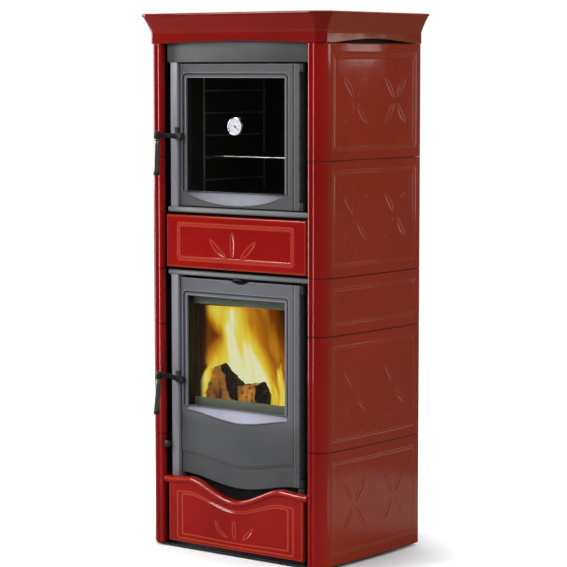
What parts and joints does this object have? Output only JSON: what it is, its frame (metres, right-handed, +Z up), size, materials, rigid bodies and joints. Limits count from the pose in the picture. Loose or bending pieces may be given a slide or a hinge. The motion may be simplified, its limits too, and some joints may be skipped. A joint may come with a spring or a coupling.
{
  "type": "tiled stove",
  "caption": "Tall wood stove with an oven above the firebox, clad in glazed relief tiles between a wavy skirt tile and a flared cornice, with two glazed cast doors.",
  "frame": {"origin": "centre of the footprint of the whole stove's box, on the floor", "axes": "+Z up, -Y towards the doors, +X to the right of someone who faces the doors"},
  "size_m": [0.644, 0.479, 1.4383],
  "materials": {
    "red_glaze": "gloss, thinner and lighter over the relief",
    "grey_iron": "satin paint",
    "dark_iron": "matt paint over a fine cast grain",
    "black_steel": "matt heat-proof paint",
    "chrome_wire": "polished wire",
    "grip_metal": "satin",
    "fire_brick": "bare",
    "gasket_rope": "braided glass fibre",
    "window_glass": "polished",
    "dial_enamel": "white enamel face in a steel rim",
    "needle_paint": "matt"
  },
  "bodies": {
    "stove_body": {"base_frame": "black_steel", "foot_front_left": "black_steel", "foot_front_right": "black_steel", "foot_rear_left": "black_steel", "foot_rear_right": "black_steel", "steel_casing": "black_steel", "top_plate": "dark_iron", "flue_collar": "dark_iron", "front_frame": "dark_iron", "upper_ledge": "grey_iron", "lower_ledge": "grey_iron", "upper_front_panel": "grey_iron", "side_tile_left_1": "red_glaze", "side_tile_left_2": "red_glaze", "side_tile_left_3": "red_glaze", "side_tile_left_4": "red_glaze", "side_tile_left_5": "red_glaze", "side_tile_right_1": "red_glaze", "side_tile_right_2": "red_glaze", "side_tile_right_3": "red_glaze", "side_tile_right_4": "red_glaze", "side_tile_right_5": "red_glaze", "cornice_front": "red_glaze", "cornice_left": "red_glaze", "cornice_right": "red_glaze", "middle_tile": "red_glaze", "lower_tile": "red_glaze", "oven_hinge_pin_lower": "black_steel", "oven_hinge_pin_upper": "black_steel", "fire_hinge_pin_lower": "black_steel", "fire_hinge_pin_upper": "black_steel", "firebox_shell": "black_steel", "oven_box": "black_steel", "lining_left": "dark_iron", "lining_right": "dark_iron", "lining_back": "dark_iron", "baffle": "fire_brick", "fire_grate": "dark_iron", "log_retainer": "dark_iron", "air_wash_bar": "grey_iron", "ash_pan": "black_steel", "oven_rack": "chrome_wire", "oven_rail_left": "chrome_wire", "oven_rail_right": "chrome_wire"},
    "oven_door": {"oven_door_frame": "grey_iron", "oven_glass": "window_glass", "oven_gasket": "gasket_rope", "thermometer_case": "dial_enamel"},
    "oven_handle": {"oven_handle_arm": "black_steel", "oven_handle_grip": "grip_metal", "oven_latch": "dark_iron"},
    "needle": {"thermometer_needle": "needle_paint"},
    "fire_door": {"fire_door_frame": "dark_iron", "fire_glass": "window_glass", "fire_gasket": "gasket_rope"},
    "fire_handle": {"fire_handle_arm": "black_steel", "fire_handle_grip": "grip_metal", "fire_latch": "dark_iron"},
    "primary_air": {"primary_air_control": "black_steel"},
    "secondary_air": {"secondary_air_lever": "black_steel"}
  },
  "joints": [
    {"name": "oven_door_hinge", "type": "hinge", "parent": "stove_body", "child": "oven_door", "pos_m": [0.211, -0.1625, 1.117], "axis": [0, 0, 1], "range_deg": [0, 110]},
    {"name": "oven_handle_turn", "type": "hinge", "parent": "oven_door", "child": "oven_handle", "pos_m": [-0.1954, -0.1695, 1.113], "axis": [0, 1, 0], "range_deg": [0, 60]},
    {"name": "thermometer_needle_turn", "type": "hinge", "parent": "oven_door", "child": "needle", "pos_m": [-0.0145, -0.166, 1.1415], "axis": [0, 1, 0], "range_deg": [-260, 10]},
    {"name": "fire_door_hinge", "type": "hinge", "parent": "stove_body", "child": "fire_door", "pos_m": [0.211, -0.1625, 0.4705], "axis": [0, 0, 1], "range_deg": [0, 110]},
    {"name": "fire_handle_turn", "type": "hinge", "parent": "fire_door", "child": "fire_handle", "pos_m": [-0.1954, -0.1695, 0.457], "axis": [0, 1, 0], "range_deg": [0, 50]},
    {"name": "primary_air_slide", "type": "slide", "parent": "stove_body", "child": "primary_air", "axis": [0, -1, 0], "range_m": [0, 0.025]},
    {"name": "secondary_air_slide", "type": "slide", "parent": "stove_body", "child": "secondary_air", "axis": [1, 0, 0], "range_m": [-0.012, 0.012]}
  ]
}
